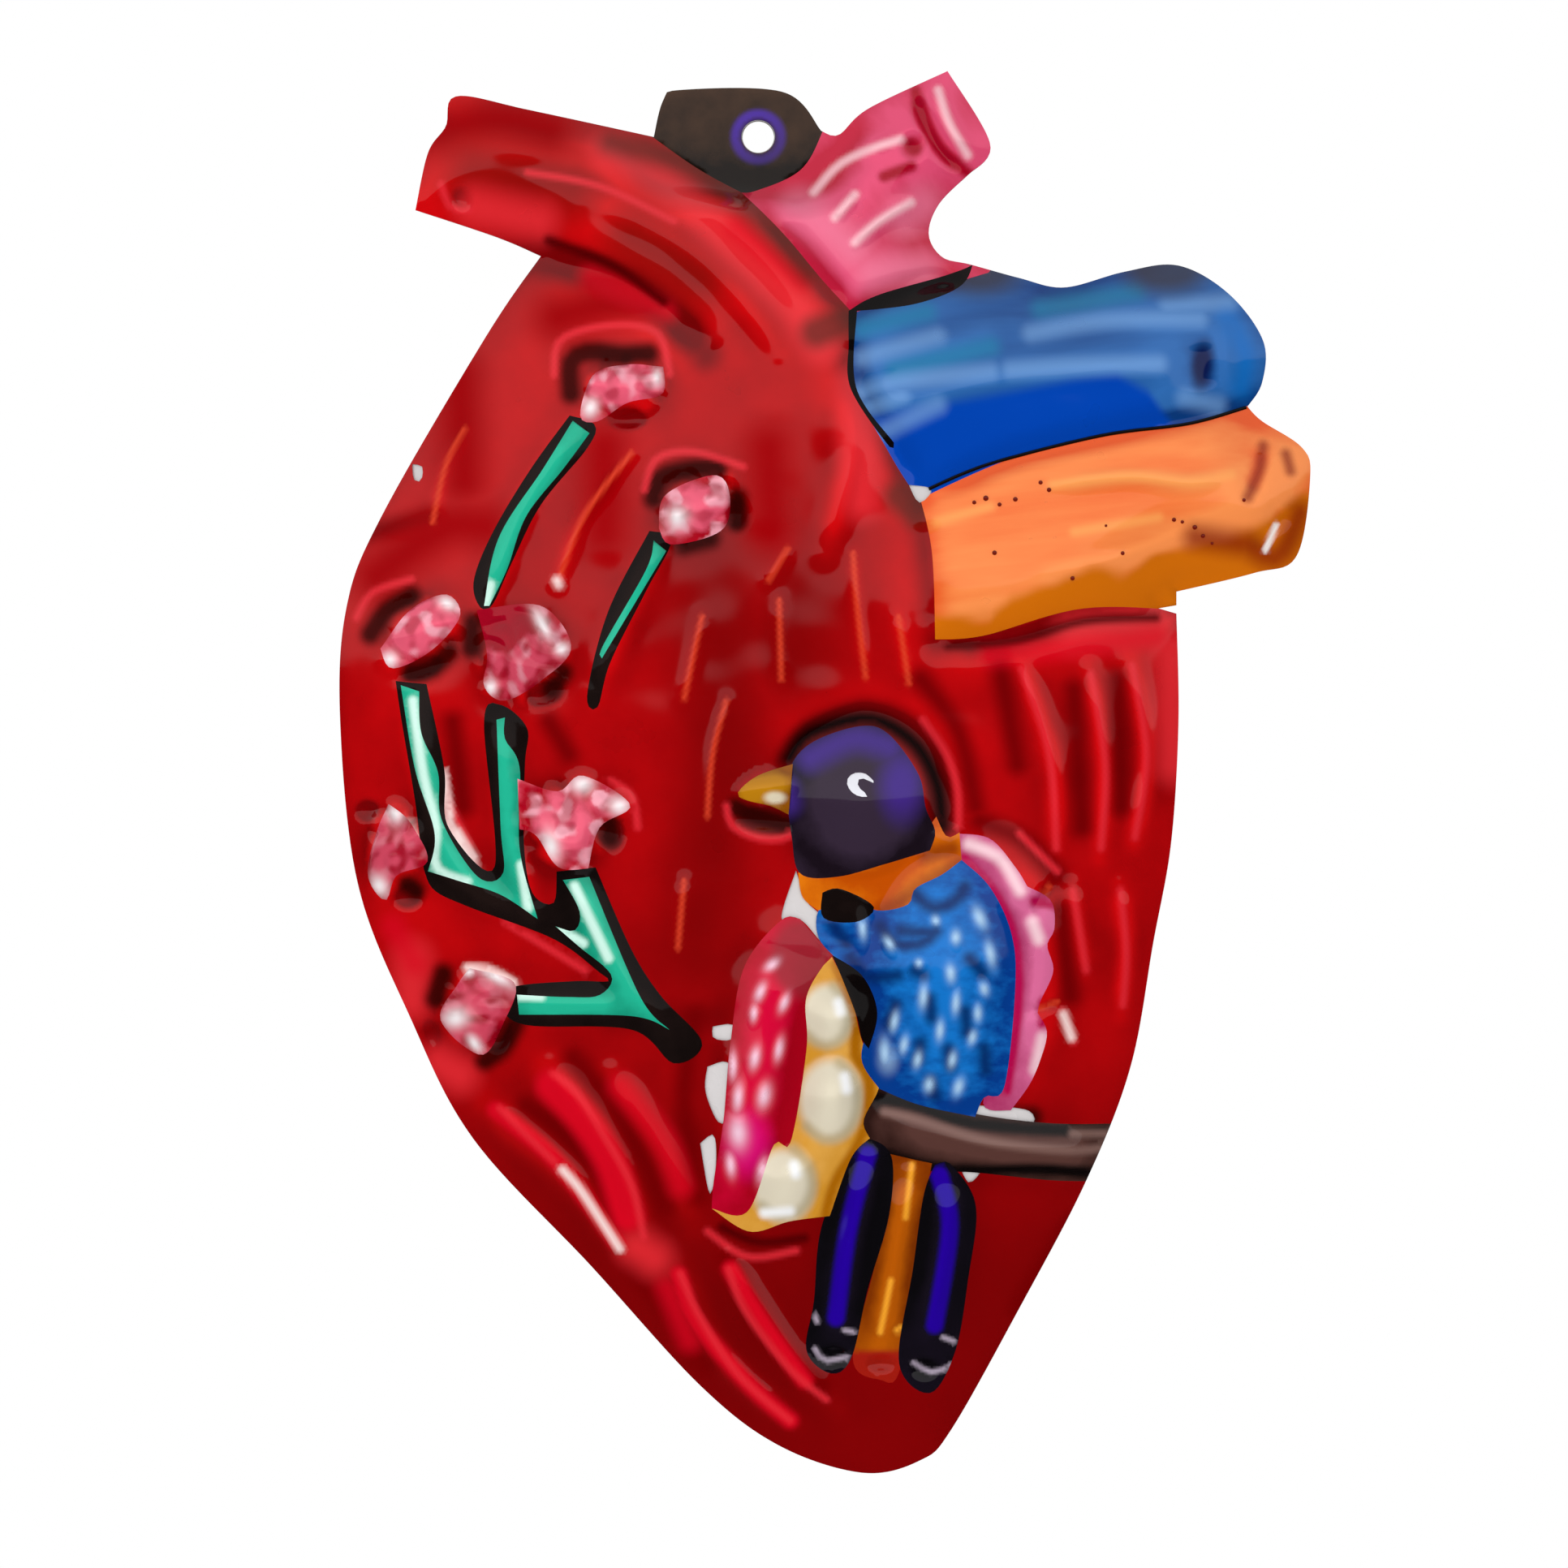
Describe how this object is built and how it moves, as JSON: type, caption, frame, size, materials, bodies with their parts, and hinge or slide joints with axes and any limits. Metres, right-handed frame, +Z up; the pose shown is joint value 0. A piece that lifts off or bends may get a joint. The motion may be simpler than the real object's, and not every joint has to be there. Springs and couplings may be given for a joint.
{
  "type": "embossed tin heart ornament",
  "caption": "Thin pressed tin hanging ornament: an anatomical heart with cut-off vessels, a bird on a perch and a flowering branch in coloured lacquer, with a holed tab.",
  "frame": {"origin": "centre of the punched hanging hole, in the plane of the sheet's back at the tab", "axes": "+Z up along the height, +X to the viewer's right, front facing -Y"},
  "size_m": [0.0929, 0.009, 0.1341],
  "materials": {
    "edge_black": "translucent gloss lacquer brushed over bright metal",
    "black_tab": "translucent gloss lacquer brushed over bright metal",
    "blue_vessel": "translucent gloss lacquer brushed over bright metal",
    "blue_wing": "translucent gloss lacquer brushed over bright metal",
    "brown_perch": "translucent gloss lacquer brushed over bright metal",
    "dark_crescent": "translucent gloss lacquer brushed over bright metal",
    "dark_seam": "translucent gloss lacquer brushed over bright metal",
    "dark_throat_patch": "translucent gloss lacquer brushed over bright metal",
    "stem_green": "translucent gloss lacquer brushed over bright metal",
    "magenta_near_wing": "translucent gloss lacquer brushed over bright metal",
    "ochre_beak": "translucent gloss lacquer brushed over bright metal",
    "orange_collar": "translucent gloss lacquer brushed over bright metal",
    "orange_vessel": "translucent gloss lacquer brushed over bright metal",
    "pearl_breast": "translucent gloss lacquer brushed over bright metal",
    "pink_far_wing": "translucent gloss lacquer brushed over bright metal",
    "pink_vessel": "translucent gloss lacquer brushed over bright metal",
    "purple_head": "translucent gloss lacquer brushed over bright metal",
    "red_heart": "translucent gloss lacquer brushed over bright metal",
    "rose_pink": "translucent gloss lacquer brushed over bright metal",
    "feather_purple": "translucent gloss lacquer brushed over bright metal",
    "tail_feather_middle": "translucent gloss lacquer brushed over bright metal",
    "tin_sheet": "bright tinplate, hand pressed, lightly tarnished"
  },
  "bodies": {
    "root": {"black_edge_1": "edge_black", "black_edge_2": "edge_black", "black_edge_branch": "edge_black", "black_tab": "black_tab", "blue_vessel": "blue_vessel", "blue_wing": "blue_wing", "brown_perch": "brown_perch", "dark_crescent": "dark_crescent", "dark_seam": "dark_seam", "dark_throat_patch": "dark_throat_patch", "green_branch_left": "stem_green", "green_branch_right": "stem_green", "green_stem_1": "stem_green", "green_stem_2": "stem_green", "magenta_near_wing": "magenta_near_wing", "ochre_beak": "ochre_beak", "orange_collar": "orange_collar", "orange_vessel": "orange_vessel", "pearl_breast": "pearl_breast", "pink_far_wing": "pink_far_wing", "pink_vessel": "pink_vessel", "purple_head": "purple_head", "red_heart": "red_heart", "red_pocket": "red_heart", "rose_1": "rose_pink", "rose_2": "rose_pink", "rose_3": "rose_pink", "rose_4": "rose_pink", "rose_5": "rose_pink", "rose_6": "rose_pink", "rose_7": "rose_pink", "tail_feather_left": "feather_purple", "tail_feather_middle": "tail_feather_middle", "tail_feather_right": "feather_purple", "tin_sheet": "tin_sheet"}
  },
  "joints": []
}
